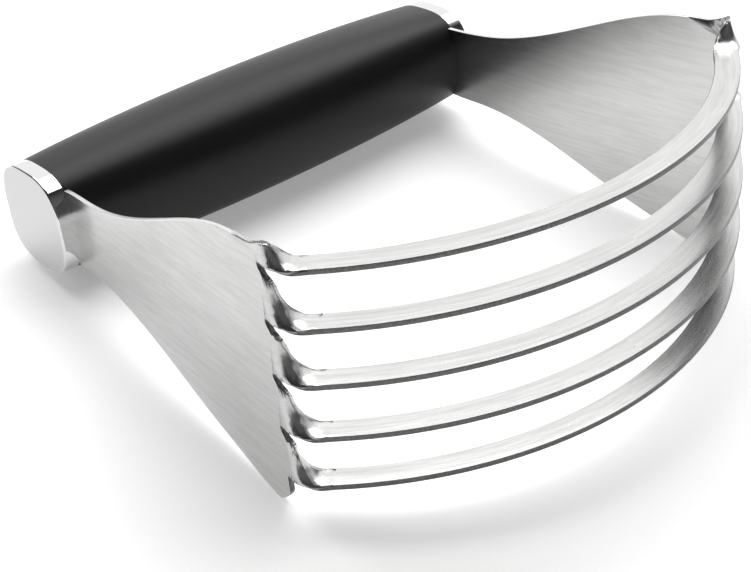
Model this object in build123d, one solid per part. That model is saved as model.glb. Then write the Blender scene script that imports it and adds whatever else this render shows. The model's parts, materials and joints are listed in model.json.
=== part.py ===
"""Pastry blender: one stamped five-tine blade held on a soft barrel grip by two metal end caps.

The parts are drawn in a tool frame: X runs along the handle through its centre, the tines hang
towards -Y, and Z is the direction in which the five tines are stacked.  The finished tool is
then laid on its side, so that the barrel of the grip and the lower corner of each cheek stand on Z = 0.
"""
from build123d import *
import math
import os

# ---- Handle -----------------------------------------------------------------------------------
SEAT_X = 55.3            # handle centre to the plane where each cap meets the grip
END_HALF_Y = 12.0        # half depth of the oval handle at its ends
END_HALF_Z = 11.6        # half width of the oval handle at its ends
MID_HALF_Y = 15.0        # half depth of the barrel at mid length
MID_HALF_Z = 14.0        # half width of the barrel at mid length
MID_POWER = 2.36         # 2 is an ellipse, more is squarer
END_POWER = 2.9          # the oval is squarer at its ends
OVAL_POINTS = 16         # points that the oval is drawn through
BARREL_STATIONS = 5      # cross-sections along the grip
GRIP_WALL = 2.4          # soft layer over the rigid core

# ---- End caps ---------------------------------------------------------------------------------
CAP_T = 3.8              # cap thickness along the handle
CAP_WALL = 0.8           # drawn steel of the cap
CAP_RIM = 0.45           # rounded rim of the outer face
WELL_R = 4.4             # well in the carrier that clears the screw head
PEG_R = 1.4              # carrier pegs that lock into the core
PEG_LENGTH = 5.0
PEG_Y = 5.4              # pegs sit behind the tang, towards the palm
PEG_Z = 4.4
SOCKET_GAP = 0.05        # radial gap round each peg
SOCKET_DEPTH = 5.4

# ---- Fixings ----------------------------------------------------------------------------------
SCREW_Y = -3.4           # the screw passes the tang a little below the handle centre
SCREW_R = 1.3
SCREW_LENGTH = 14.0
SCREW_HEAD_R = 2.8
SCREW_HEAD_H = 1.6
DRIVE_W = 0.8            # straight drive slot in the head
DRIVE_DEPTH = 0.7
WASHER_R = 3.4
WASHER_T = 0.6
TANG_HOLE_R = 1.45
PILOT_DEPTH = 16.0

# ---- Blade ------------------------------------------------------------------------------------
SHEET_T = 1.12           # stainless sheet
TANG_BACK_Y = 2.2        # rounded back end of the tang, inside the handle
TANG_BACK_R = 5.0        # corner radius there
BEND_Y = -13.5           # each cheek starts to lean outwards here
BEND_R = 30.0
ROOT_X = 60.1            # outer face of the cheek where the tines start
ROOT_Y = -87.2           # end of the flat cheek
# upper edge of a cheek, from the tang to the first tine: (Y, Z)
CHEEK_EDGE = [(-11.8, 8.8), (-23.8, 9.5), (-35.8, 12.1), (-47.8, 16.3),
              (-59.8, 21.0), (-73.8, 25.1), (-82.5, 25.9)]
TANG_HALF_Z = 8.4
CORNER_RISE_Y = -85.2    # the top edge rises to the first tine here

# ---- Tines ------------------------------------------------------------------------------------
TINES = 5
PITCH = 11.0             # spacing of the tines
TINE_DEPTH = 4.87        # width of each strip, cutting edge to inner edge
ARC_R = 82.5             # radius of the cutting edge
ARC_BOTTOM_Y = -116.2    # lowest point of the middle cutting edge
OUTER_RISE = 0.32        # a tine n places from the middle is n*n times this less deep
ARC_END = 42.0           # half angle of the plain arc, in degrees
ROOT_DROP = 3.85         # a strip leaves the cheek this much above its own tine
ROOT_FIN = 4.0           # extra width on the upper side of a strip where it leaves the cheek
TOP_NARROW = 1.0         # the first strip has no neighbour above and is this much narrower there
FIN_END = 0.50           # strips have their even width from this fraction of the twist
TWIST_END = 0.84         # and the quarter turn is complete at this one
TWIST_STATIONS = 15
ROOT_LEAD = 2.4          # straight lead of the bend at the cheek
ARC_LEAD = 4.2           # and at the arc

# ---- Slots between the strips, and the lower corner --------------------------------------------
SLOT_Y = -86.2           # deepest end of a slot
SLOT_NOSE = 0.45         # rounded upper corner of the slot end
# curved slot end, from the strip above down to the strip below: (Y, Z) from the slot's top corner
SLOT_END = [(0.0, -0.6), (-0.38, -1.35)]
TIP_Y = -86.4            # short upright edge below the last tine
TIP_EDGE = [(-73.8, -25.6), (-79.5, -27.3), (-82.6, -27.5), (-84.9, -26.3), (-86.4, -24.2)]


def oval(x, half_y, half_z):
    """Oval cross-section of the handle at X = x."""
    power = MID_POWER + (END_POWER - MID_POWER) * min(1.0, (x / SEAT_X) ** 2)
    points = []
    for i in range(OVAL_POINTS):
        a = 2 * math.pi * i / OVAL_POINTS
        c, s = math.cos(a), math.sin(a)
        r = (abs(c / half_y) ** power + abs(s / half_z) ** power) ** (-1 / power)
        points.append((r * c, r * s))
    return Plane.YZ.offset(x) * make_face(Spline(*points, periodic=True))


def barrel(inset):
    """Barrel shape of the grip, reduced all round by inset."""
    sections = []
    for i in range(BARREL_STATIONS):
        x = SEAT_X * (2 * i / (BARREL_STATIONS - 1) - 1)
        swell = 1 - (x / SEAT_X) ** 2
        sections.append(oval(x, END_HALF_Y + (MID_HALF_Y - END_HALF_Y) * swell - inset,
                             END_HALF_Z + (MID_HALF_Z - END_HALF_Z) * swell - inset))
    return loft(sections)


def rod(x0, x1, y, z, r):
    """Round bar along X."""
    return Plane.YZ.offset(x0) * Pos(y, z, 0) * extrude(Circle(r), amount=x1 - x0)


def sheet():
    """The right-hand cheek and tang as a bent strip of sheet, seen from above, at full height."""
    half = SHEET_T / 2
    path = FilletPolyline((SEAT_X - half, TANG_BACK_Y), (SEAT_X - half, BEND_Y),
                          (ROOT_X - half, ROOT_Y), radius=BEND_R)
    tall = 2 * (TINES * PITCH)
    return extrude(trace(path, SHEET_T), amount=tall / 2, both=True)


def tine_z(k):
    """Middle plane of tine k, counted from the top of the stack."""
    return ((TINES - 1) / 2 - k) * PITCH


def strip_z(k):
    """Lower and upper edge of strip k where it leaves the cheek."""
    middle = tine_z(k) + ROOT_DROP
    return middle - TINE_DEPTH / 2, middle + TINE_DEPTH / 2


def cheek_side_view():
    """Side view of cheek and tang: a waisted plate, flared at the first tine, pointed at the last."""
    beyond = ROOT_Y - SHEET_T
    top, low = strip_z(0)[1] - TOP_NARROW, strip_z(TINES - 1)[0]
    corner = CHEEK_EDGE[-1]
    upper = Spline((0, TANG_HALF_Z), *CHEEK_EDGE, tangents=((-1, 0), (-1, 0.05)))
    flare = Spline(corner, (CORNER_RISE_Y, corner[1] + 0.45), (ROOT_Y, top))
    waist = [(y, -z) for y, z in CHEEK_EDGE[:-2]]
    lower = Spline((0, -TANG_HALF_Z), *waist, *TIP_EDGE, tangents=((-1, 0), (-0.3, 1)))
    ends = Polyline((ROOT_Y, top), (beyond, top), (beyond, low), (TIP_Y, low), TIP_EDGE[-1])
    plate = make_face([upper, flare, ends, lower, Line((0, -TANG_HALF_Z), (0, TANG_HALF_Z))])
    back = RectangleRounded(2 * TANG_BACK_R, 2 * TANG_HALF_Z, TANG_BACK_R - 0.1)
    return plate + Pos(TANG_BACK_Y - TANG_BACK_R, 0) * back


def slot_side_view(k):
    """Gap under strip k: straight sides and a curved, fin-shaped end in the cheek."""
    top, floor = strip_z(k)[0], strip_z(k + 1)[1] + ROOT_FIN
    beyond = ROOT_Y - 2 * SHEET_T
    nose = (SLOT_Y - SLOT_NOSE, top)
    curve = [(SLOT_Y + dy, top + dz) for dy, dz in SLOT_END]
    end = Spline(nose, *curve, (ROOT_Y, floor), tangents=((1, -0.2), (-0.62, -1)))
    return make_face([end, Polyline((ROOT_Y, floor), (beyond, floor), (beyond, top), nose)])


def cheek():
    """Right-hand cheek with its tang, the screw hole and the slots between the strips."""
    reach = 2 * ROOT_X
    body = sheet() & extrude(Plane.YZ * cheek_side_view(), amount=reach)
    for k in range(TINES - 1):
        body -= extrude(Plane.YZ * slot_side_view(k), amount=reach)
    return body - rod(0, reach, SCREW_Y, 0, TANG_HOLE_R)


def sheet_end():
    """Mid-line point and direction of the sheet where the flat cheek ends."""
    run = Vector(ROOT_X - SEAT_X, ROOT_Y - BEND_Y).normalized()
    return Vector(ROOT_X - SHEET_T / 2, ROOT_Y), run


def arc_frame(k):
    """Centre height of the cutting arc of tine k."""
    place = k - (TINES - 1) / 2
    return ARC_BOTTOM_Y + ARC_R + OUTER_RISE * place ** 2


def tine_arc(k):
    """Plain part of a tine: a flat strip on edge, curved round the palm side."""
    cy, a = arc_frame(k), math.radians(ARC_END)
    inner_r = ARC_R - TINE_DEPTH

    def at(r, angle):
        return (r * math.sin(angle), cy - r * math.cos(angle))

    outer = ThreePointArc(at(ARC_R, -a), at(ARC_R, 0), at(ARC_R, a))
    inner = ThreePointArc(at(inner_r, -a), at(inner_r, 0), at(inner_r, a))
    face = make_face([outer, inner, Line(outer @ 0, inner @ 0), Line(outer @ 1, inner @ 1)])
    return extrude(Pos(0, 0, tine_z(k)) * face, amount=SHEET_T / 2, both=True)


def twist(k):
    """Right-hand root of a tine: the strip turns a quarter turn while it bends into the arc."""
    p0, d0 = sheet_end()
    a, mid_r = math.radians(ARC_END), ARC_R - TINE_DEPTH / 2
    p3 = Vector(mid_r * math.sin(a), arc_frame(k) - mid_r * math.cos(a))
    d3 = Vector(-math.cos(a), -math.sin(a))
    p1, p2 = p0 + d0 * ROOT_LEAD, p3 - d3 * ARC_LEAD
    path = Bezier(p0, p1, p2, p3)
    up = Vector(0, 0, 1)
    sections = []
    for i in range(TWIST_STATIONS):
        u = i / (TWIST_STATIONS - 1)
        part = min(1.0, u / TWIST_END) ** 0.85
        ease = part * part * (3 - 2 * part)
        turn = ease * math.pi / 2
        along = path % u
        across = up * math.cos(turn) + along.cross(up) * math.sin(turn)
        fin = (ROOT_FIN if k > 0 else -TOP_NARROW) * max(0.0, 1 - u / FIN_END) ** 1.6
        centre = path @ u + up * (tine_z(k) + ROOT_DROP * (1 - ease)) + across * (fin / 2)
        strip = Rectangle(TINE_DEPTH + fin, SHEET_T)
        sections.append(Plane(centre, x_dir=across, z_dir=along) * strip)
    return loft(sections)


def blade():
    """The whole blade in one piece: two cheeks joined by five tines."""
    right = cheek()
    for k in range(TINES):
        right += twist(k)
    whole = right + mirror(right, about=Plane.YZ)
    for k in range(TINES):
        whole += tine_arc(k)
    return whole


def core():
    """Rigid bar inside the grip, with a pilot bore and two peg sockets in each end."""
    body = barrel(GRIP_WALL)
    for x in (-SEAT_X, SEAT_X - PILOT_DEPTH):
        body -= rod(x, x + PILOT_DEPTH, SCREW_Y, 0, SCREW_R)
    for x in (-SEAT_X, SEAT_X - SOCKET_DEPTH):
        for z in (-PEG_Z, PEG_Z):
            body -= rod(x, x + SOCKET_DEPTH, PEG_Y, z, PEG_R + SOCKET_GAP)
    return body


def end_cap():
    """Right-hand cap: a drawn steel cup with a flat face and a rounded rim."""
    outer = extrude(oval(SEAT_X, END_HALF_Y, END_HALF_Z), amount=CAP_T)
    face = outer.faces().sort_by(Axis.X)[-1]
    outer = fillet(face.edges(), CAP_RIM)
    hollow = extrude(oval(SEAT_X, END_HALF_Y - CAP_WALL, END_HALF_Z - CAP_WALL), amount=CAP_T - CAP_WALL)
    return outer - hollow


def carrier():
    """Plastic filling of the right-hand cap, open round the screw head, with its two pegs."""
    depth = CAP_T - CAP_WALL
    body = extrude(oval(SEAT_X, END_HALF_Y - CAP_WALL, END_HALF_Z - CAP_WALL), amount=depth)
    body -= rod(SEAT_X, SEAT_X + depth, SCREW_Y, 0, WELL_R)
    for z in (-PEG_Z, PEG_Z):
        body += rod(SEAT_X - PEG_LENGTH, SEAT_X, PEG_Y, z, PEG_R)
    return body


def screw():
    """Right-hand screw: plain shank, cheese head with a straight drive slot."""
    seat = SEAT_X + WASHER_T
    head = rod(seat, seat + SCREW_HEAD_H, SCREW_Y, 0, SCREW_HEAD_R)
    groove = Pos(seat + SCREW_HEAD_H, SCREW_Y, 0) * Box(2 * DRIVE_DEPTH, DRIVE_W, 3 * SCREW_HEAD_R)
    return head - groove + rod(seat - SCREW_LENGTH, seat, SCREW_Y, 0, SCREW_R)


def washer():
    ring = rod(SEAT_X, SEAT_X + WASHER_T, SCREW_Y, 0, WASHER_R)
    return ring - rod(SEAT_X, SEAT_X + WASHER_T, SCREW_Y, 0, SCREW_R)


def rest_tilt():
    """Angle by which the tool leans when barrel and cheek corners stand on one flat surface."""
    ovals = [(MID_HALF_Y * math.cos(t), MID_HALF_Z * math.sin(t))
             for t in [math.pi * (1 + i / 360) for i in range(361)]]

    def lowest(points, a):
        return min(z * math.cos(a) - y * math.sin(a) for y, z in points)

    low, high = 0.0, math.pi / 6
    while high - low > 1e-7:
        a = (low + high) / 2
        if lowest(TIP_EDGE, a) < lowest(ovals, a):
            low = a
        else:
            high = a
    return math.degrees(low)


def pair(shape):
    """Two separate pieces, one at each end of the handle."""
    return Compound([*shape.solids(), *mirror(shape, about=Plane.YZ).solids()])


def main():
    steel = blade()
    nodes = {
        "blade": steel,
        "handle_core": core() - steel,
        "grip_sleeve": barrel(0) - barrel(GRIP_WALL) - steel,
        "end_cap_right": end_cap(),
        "end_cap_left": mirror(end_cap(), about=Plane.YZ),
        "cap_carrier_right": carrier(),
        "cap_carrier_left": mirror(carrier(), about=Plane.YZ),
        "fixing_screws": pair(screw()),
        "lock_washers": pair(washer()),
    }
    lean = Rot(-rest_tilt(), 0, 0)
    nodes = {name: lean * shape for name, shape in nodes.items()}
    box = Compound([solid for shape in nodes.values() for solid in shape.solids()]).bounding_box()
    home = Pos(-box.center().X, -box.center().Y, -box.min.Z)
    os.makedirs("parts", exist_ok=True)
    for name, shape in nodes.items():
        export_step(home * shape, f"parts/{name}.step")
        print(name, round(shape.volume))
    print("lean", round(rest_tilt(), 3), "moved", home.position)


main()
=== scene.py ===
import bmesh
import bpy
import json
import math
from mathutils import Euler, Matrix, Vector
from mathutils.bvhtree import BVHTree


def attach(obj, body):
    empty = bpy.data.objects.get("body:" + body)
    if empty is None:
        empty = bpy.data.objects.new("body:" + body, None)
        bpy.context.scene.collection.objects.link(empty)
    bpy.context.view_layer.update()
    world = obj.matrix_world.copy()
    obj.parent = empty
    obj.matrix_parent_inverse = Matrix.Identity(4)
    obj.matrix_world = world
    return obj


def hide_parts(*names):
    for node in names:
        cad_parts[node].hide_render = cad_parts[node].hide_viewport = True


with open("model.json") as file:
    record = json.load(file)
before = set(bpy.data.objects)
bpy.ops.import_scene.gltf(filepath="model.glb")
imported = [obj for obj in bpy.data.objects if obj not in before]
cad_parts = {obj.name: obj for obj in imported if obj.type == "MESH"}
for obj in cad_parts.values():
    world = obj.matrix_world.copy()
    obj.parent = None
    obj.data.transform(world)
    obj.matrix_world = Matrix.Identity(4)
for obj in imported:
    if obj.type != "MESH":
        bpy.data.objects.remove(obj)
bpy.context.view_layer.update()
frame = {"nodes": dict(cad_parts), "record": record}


# ---- Blade ------------------------------------------------------------------------------------
# One stamped stainless sheet: two waisted cheeks, and five tines that turn a quarter turn at each
# root.  It was brushed before it was cut, so its faces carry the grain and its sheared edges don't.
# A tang at the top of each cheek is screwed to the core of the handle.
SHEET = 0.00112                             # thickness of the steel
LEAN = math.radians(9.346)                  # the tool leans by this as it lies on the table
MERGED = 0.00002                            # points of the CAD mesh closer than this are one
SHARP = math.radians(38)                    # an edge that turns by more than this was sheared
BURR = 0.00012                              # width of the rounding that the shears left
SLOT_HEAD, SLOT_FOOT = -0.0815, -0.0893     # the tight ends of the slots lie between these depths
UNDER_FACE, UNDER_RIM = 1.2 * SHEET, 2.2 * SHEET    # most steel under a face, a rounded corner
FACE, RIM, CUT = 0.0, 0.5, 1.0              # marks for faces, rounded corners and sheared edges

TINE_START = -0.0900                        # depth at which the cheeks have become tines
ARC_CENTRE, ARC_RADIUS = -0.0337, 0.080     # the tines run round here; the radius scales the marks
GRAIN_ALONG, GRAIN_ASIDE = 190.0, 3200.0    # brush marks per metre, along the strip and across it
STREAK_ALONG, STREAK_ASIDE = 60.0, 1100.0   # and the broader streaks between them
SHADED_EDGE_DEPTH, HIGHLIT_EDGE_DEPTH = -0.086, -0.083       # between these depths the edges go from painted shade to a painted highlight

FACE_DULL, FACE_BRIGHT = (0.53, 0.53, 0.527), (0.655, 0.655, 0.65)
# painted shade and painted highlight for the sheared edges, then for their rounded corners
CUT_PAINTED_SHADE, CUT_PAINTED_HIGHLIGHT = (0.04, 0.04, 0.04), (0.74, 0.74, 0.735)
RIM_PAINTED_SHADE, RIM_PAINTED_HIGHLIGHT = (0.30, 0.30, 0.30), (0.8, 0.8, 0.795)


class Socket:
    """A value in a node tree that Python's own operators work on."""

    def __init__(self, tree, out=None):
        self.tree, self.out = tree, out

    def plug(self, shader, **inputs):
        """Sets or links inputs by name, with _ for a space, or by place, as in i0 and i1."""
        for name, value in inputs.items():
            by_place = name[0] == "i" and name[1:].isdigit()
            target = shader.inputs[int(name[1:]) if by_place else name.replace("_", " ")]
            if isinstance(value, Socket):
                self.tree.links.new(value.out, target)
            else:
                target.default_value = value

    def node(self, kind, settings=None, output=0, **inputs):
        """Adds a node, with its settings first and then its inputs, and gives one of its outputs."""
        made = self.tree.nodes.new(kind)
        for name, value in (settings or {}).items():
            setattr(made, name, value)
        self.plug(made, **inputs)
        return Socket(self.tree, made.outputs[output])

    def maths(self, operation, a, b=0.0, c=0.0):
        return self.node("ShaderNodeMath", {"operation": operation}, i0=a, i1=b, i2=c)

    def __add__(self, other):
        return self.maths("ADD", self, other)

    def __radd__(self, other):
        return self.maths("ADD", other, self)

    def __sub__(self, other):
        return self.maths("SUBTRACT", self, other)

    def __rsub__(self, other):
        return self.maths("SUBTRACT", other, self)

    def __mul__(self, other):
        return self.maths("MULTIPLY", self, other)

    def __rmul__(self, other):
        return self.maths("MULTIPLY", other, self)

    def noise(self, scale, detail=2.0, roughness=0.5):
        """Noise laid out on this position."""
        return self.node("ShaderNodeTexNoise", Vector=self, Scale=scale, Detail=detail,
                         Roughness=roughness)

    def bump(self, strength, distance):
        """The normal that this height gives."""
        return self.node("ShaderNodeBump", Strength=strength, Distance=distance, Height=self)

    def smooth(self, low, high):
        """From 0 at low to 1 at high, by a smooth step."""
        return self.node("ShaderNodeMapRange", {"interpolation_type": "SMOOTHSTEP"},
                         Value=self, From_Min=low, From_Max=high)

    def number(self, low, high):
        """The number low where this value is 0 and high where it is 1."""
        return self.node("ShaderNodeMix", {"data_type": "FLOAT"}, i0=self, i2=low, i3=high)

    def tint(self, low, high):
        """The colour low where this value is 0 and high where it is 1."""
        ends = [end if isinstance(end, Socket) else (*end, 1) for end in (low, high)]
        return self.node("ShaderNodeMix", {"data_type": "RGBA"}, 2, i0=self, i6=ends[0], i7=ends[1])


def new_finish(name):
    """An empty material, the position in object coordinates, and its surface shader."""
    material = bpy.data.materials.new(name)
    material.use_nodes = True
    where = Socket(material.node_tree).node("ShaderNodeTexCoord", None, "Object")
    return material, where, material.node_tree.nodes["Principled BSDF"]


def dress(piece, material):
    """Gives a piece one finish in place of those that it has."""
    slots = piece.data.materials
    slots.clear()
    slots.append(material)


def deselect():
    """Leaves nothing selected, because an operator acts on all that is."""
    for other in bpy.context.selected_objects:
        other.select_set(False)


def copy_of(node, name):
    """A merged copy of a CAD node, without the node's own marks, selected and active."""
    deselect()
    piece = frame["nodes"][node].copy()
    piece.data = piece.data.copy()
    piece.name = piece.data.name = name
    for key in [key for key in piece.keys() if key.startswith("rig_")]:
        del piece[key]
    piece.parent = None
    bpy.context.scene.collection.objects.link(piece)
    piece.select_set(True)
    bpy.context.view_layer.objects.active = piece
    bpy.ops.object.mode_set(mode="EDIT")
    bpy.ops.mesh.select_all(action="SELECT")
    bpy.ops.mesh.remove_doubles(threshold=MERGED)
    bpy.ops.object.mode_set(mode="OBJECT")
    return piece


blade = copy_of("blade", "brushed_blade")

# the tool's own axes: across along the handle, deep towards the palm and high up the stack of
# tines, all from the middle of the handle, whose line runs through the middles of the cap faces
cap_face = Vector(frame["record"]["mounts"][0]["pos_m"])
to_own = Matrix.Rotation(LEAN, 3, "X")
home = to_own @ -Vector((0, cap_face.y, cap_face.z))

# sheared edges are rounded very slightly, but not in the tight ends of the slots
mesh = bmesh.new()
mesh.from_mesh(blade.data)
rounded = mesh.edges.layers.float.new("bevel_weight_edge")
for edge in mesh.edges:
    depths = [(to_own @ vert.co + home).y for vert in edge.verts]
    clear_of_slots = min(depths) > SLOT_HEAD or max(depths) < SLOT_FOOT
    if clear_of_slots and len(edge.link_faces) == 2 and edge.calc_face_angle(0.0) > SHARP:
        edge[rounded] = 1.0
mesh.to_mesh(blade.data)
mesh.free()
bpy.ops.object.modifier_add(type="BEVEL")
burr = blade.modifiers[-1]
burr.width, burr.segments, burr.limit_method = BURR, 1, "WEIGHT"
burr.use_clamp_overlap = False
bpy.ops.object.modifier_apply(modifier=burr.name)

# how deep the steel is under each face tells the faces of the sheet from its sheared edges
mesh = bmesh.new()
mesh.from_mesh(blade.data)
steel_under = BVHTree.FromBMesh(mesh)
sheared = mesh.faces.layers.float.new("sheared")
for face in mesh.faces:
    inward = -face.normal
    depth = steel_under.ray_cast(face.calc_center_median() + inward * MERGED, inward)[3]
    if depth is None or depth >= UNDER_RIM:
        face[sheared] = CUT
    else:
        face[sheared] = RIM if depth >= UNDER_FACE else FACE
mesh.to_mesh(blade.data)
mesh.free()

bpy.ops.object.shade_smooth()
bpy.ops.object.modifier_add(type="WEIGHTED_NORMAL")
even_out = blade.modifiers[-1]
even_out.keep_sharp = False
bpy.ops.object.modifier_apply(modifier=even_out.name)

steel, where, surface = new_finish("brushed_steel")
own = where.node("ShaderNodeMapping", Vector=where, Rotation=(LEAN, 0, 0), Location=home)
axes = where.node("ShaderNodeSeparateXYZ", Vector=own).out.node.outputs
across, deep, high = (Socket(where.tree, out) for out in axes)

# brush marks follow the strip: straight down the cheeks and round the arcs of the tines
below = deep - ARC_CENTRE
from_centre = where.maths("SQRT", across * across + below * below)
round_arc = where.maths("ARCTAN2", across, below) * ARC_RADIUS
on_tine = where.maths("LESS_THAN", deep, TINE_START)
run = on_tine.number(deep, round_arc)
rise = on_tine.number(across, from_centre)


def drawn_out(along, aside):
    """The position stretched along the strip."""
    return where.node("ShaderNodeCombineXYZ", X=run * along, Y=rise * aside, Z=high * aside)


grain = drawn_out(GRAIN_ALONG, GRAIN_ASIDE).noise(1.0, 4.0, 0.65)
streak = drawn_out(STREAK_ALONG, STREAK_ASIDE).noise(1.0, 3.0, 0.55)
cloud = where.noise(60.0, 3.0)
tear = where.noise(2600.0)
face_tint = (streak * 0.5 + grain * 0.3 + cloud * 0.2).smooth(0.3, 0.7).tint(FACE_DULL, FACE_BRIGHT)

# the long edges of the cheeks carry a painted highlight and the edges of slots and tines a painted
# shade, with a little torn grain; the rounded corners between face and edge are painted a little
# lighter than the edges, a painted highlight on the cheeks and a painted dark line on the tines
cut = where.node("ShaderNodeAttribute", {"attribute_name": "sheared"}, "Fac")
on_edge = where.maths("GREATER_THAN", cut, 0.75)
on_rim = where.maths("COMPARE", cut, RIM, 0.1)
# painted light on the edges: 0 deep down at the tines and slot ends gives painted shade, 1 up the
# cheeks a painted highlight
painted_edge_light = deep.smooth(SHADED_EDGE_DEPTH, HIGHLIT_EDGE_DEPTH)
edge_grain_and_painted_light = (painted_edge_light * 0.75 + tear * 0.25).tint(CUT_PAINTED_SHADE, CUT_PAINTED_HIGHLIGHT)
# the rounded corners: a painted dark line on the tines, a painted highlight on the cheeks
painted_rim_light = painted_edge_light.tint(RIM_PAINTED_SHADE, RIM_PAINTED_HIGHLIGHT)
height = (grain * 0.6 + streak * 0.4) * (1.0 - on_edge) + tear * on_edge * 0.6
where.plug(surface, Base_Color=on_rim.tint(on_edge.tint(face_tint, edge_grain_and_painted_light), painted_rim_light), Metallic=1.0,
           Roughness=0.19 + grain * 0.06 + streak * 0.05 + on_edge * 0.10,
           Normal=height.bump(0.15, 0.00005))

dress(blade, steel)
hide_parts("blade")
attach(blade, "root")


# ---- Grip -------------------------------------------------------------------------------------
# Soft black sleeve, a barrel with a satin and very finely pored skin.  It is moulded over the core,
# so nothing else holds it.
SKIN_DARK, SKIN_PALE = (0.004, 0.004, 0.0042), (0.009, 0.009, 0.0094)

skin, where, surface = new_finish("soft_touch_skin")
pores = where.noise(3200.0)
wear = where.noise(60.0, 4.0, 0.6)
where.plug(surface, Base_Color=(wear * 0.6 + pores * 0.4).tint(SKIN_DARK, SKIN_PALE),
           Roughness=0.34 + wear * 0.06 + pores * 0.04, Normal=pores.bump(0.25, 0.00003),
           Specular_IOR_Level=0.26)
dress(frame["nodes"]["grip_sleeve"], skin)


# ---- Core -------------------------------------------------------------------------------------
# Rigid bar of black plastic, moulded, and hidden under the sleeve.  Its ends take the screws of
# the two tangs and the pegs of the two cap carriers.
PLASTIC_DARK, PLASTIC_PALE = (0.02, 0.02, 0.022), (0.04, 0.04, 0.042)

plastic, where, surface = new_finish("core_plastic")
mould = where.noise(400.0, 3.0)
where.plug(surface, Base_Color=mould.tint(PLASTIC_DARK, PLASTIC_PALE), Roughness=0.5 + mould * 0.15)
dress(frame["nodes"]["handle_core"], plastic)


# ---- End caps ---------------------------------------------------------------------------------
# Cups drawn from stainless sheet: the side wall is buffed to a mirror and the flat end is left
# satin.  Each is pressed over its carrier.
CAP_DULL, CAP_BRIGHT = (0.55, 0.55, 0.548), (0.80, 0.80, 0.80)

polish, where, surface = new_finish("cap_steel")
facing = where.node("ShaderNodeNewGeometry", None, "Normal")
facing_along = where.node("ShaderNodeSeparateXYZ", None, "X", Vector=facing)
flat_end = where.maths("ABSOLUTE", facing_along).smooth(0.9, 0.995)
haze = where.noise(1500.0, 3.0)
smudge = where.noise(90.0, 3.0)
bright = (smudge * 0.5 + haze * 0.2 + 0.3) * (1.0 - flat_end * 0.85)
where.plug(surface, Base_Color=bright.tint(CAP_DULL, CAP_BRIGHT), Metallic=1.0,
           Roughness=0.05 + flat_end * 0.22 + smudge * 0.03 + haze * flat_end * 0.05)
for node in ("end_cap_left", "end_cap_right"):
    dress(frame["nodes"][node], polish)


# ---- Cap carriers -----------------------------------------------------------------------------
# The filling of each cap, moulded in the same black plastic as the core.  Its two pegs are pressed
# into the end of the core, and that holds the cap on.
for node in ("cap_carrier_left", "cap_carrier_right"):
    dress(frame["nodes"][node], plastic)


# ---- Screws and washers -----------------------------------------------------------------------
# Zinc-plated steel, one of each at either end of the handle, hidden by the cap.  They hold the tang
# against the end of the core.
ZINC_DARK, ZINC_PALE = (0.45, 0.45, 0.44), (0.6, 0.6, 0.58)

zinc, where, surface = new_finish("zinc_plate")
spangle = where.noise(900.0, 3.0)
where.plug(surface, Base_Color=spangle.tint(ZINC_DARK, ZINC_PALE), Metallic=1.0,
           Roughness=0.3 + spangle * 0.2)
for node in ("fixing_screws", "lock_washers"):
    dress(frame["nodes"][node], zinc)


# ---- Table, light and camera ------------------------------------------------------------------
# A white table that gives off a little light, one broad lamp behind and above the handle, and a
# sky that is bright towards one side only, which leaves the steel something dark to reflect.
TABLE_SIZE = 6
PAINT_DARK, PAINT_PALE = (0.90, 0.90, 0.90), (0.92, 0.92, 0.92)
LAMP_PLACE, LAMP_AIM = Vector((0.28, 0.46, 1.15)), Vector((0, 0, 0.02))
SKY_DARK, SKY_BRIGHT = (0.03, 0.03, 0.03), (1.2, 1.2, 1.2)
SIDE_GLOW, FRONT_GLOW = Vector((0.70, 0.62, 0.35)), Vector((0.0, -0.92, 0.38))
EYE = Vector((-0.17083, -0.18148, 0.19423))     # the camera's place
TILT, ROLL, HEADING = 54.830, 1.140, -38.164    # and how it is turned, in degrees

deselect()
bpy.ops.mesh.primitive_plane_add(size=TABLE_SIZE, location=(0, 0, 0))
table = bpy.context.object
table.name = "table"
paint, where, surface = new_finish("table_white")
where.plug(surface, Base_Color=where.noise(300.0).tint(PAINT_DARK, PAINT_PALE), Roughness=0.6,
           Emission_Color=(1, 1, 1, 1), Emission_Strength=0.30)
dress(table, paint)

panel = bpy.data.lights.new("key_panel", "AREA")
panel.shape, panel.energy = "RECTANGLE", 19
panel.size, panel.size_y = 1.9, 1.1
lamp = bpy.data.objects.new("key_panel", panel)
aim = (LAMP_AIM - LAMP_PLACE).to_track_quat("-Z", "Y").to_matrix().to_4x4()
lamp.matrix_world = Matrix.Translation(LAMP_PLACE) @ aim
bpy.context.scene.collection.objects.link(lamp)

world = bpy.data.worlds.new("studio")
bpy.context.scene.world = world
world.use_nodes = True
sky = Socket(world.node_tree).node("ShaderNodeTexCoord", None, "Generated")


def glow(direction, outer, inner):
    """Light from one direction of the sky; outer and inner are cosines of the angle from it."""
    toward = sky.node("ShaderNodeVectorMath", {"operation": "DOT_PRODUCT"}, "Value",
                      i0=sky, i1=direction.normalized())
    return toward.smooth(outer, inner)


lit = glow(SIDE_GLOW, 0.40, 0.92) + glow(FRONT_GLOW, 0.60, 0.95) * 0.08
sky.plug(world.node_tree.nodes["Background"], Color=lit.tint(SKY_DARK, SKY_BRIGHT), Strength=1.0)

lens = bpy.data.cameras.new("view")
lens.sensor_width, lens.lens = 36, 69.37
lens.shift_x, lens.shift_y = 0.1313, -0.1070
lens.clip_start = 0.01
viewer = bpy.data.objects.new("view", lens)
viewer.location = EYE
viewer.rotation_euler = Euler([math.radians(angle) for angle in (TILT, ROLL, HEADING)])
bpy.context.scene.collection.objects.link(viewer)
bpy.context.scene.camera = viewer
bpy.context.scene.view_settings.view_transform = "Standard"
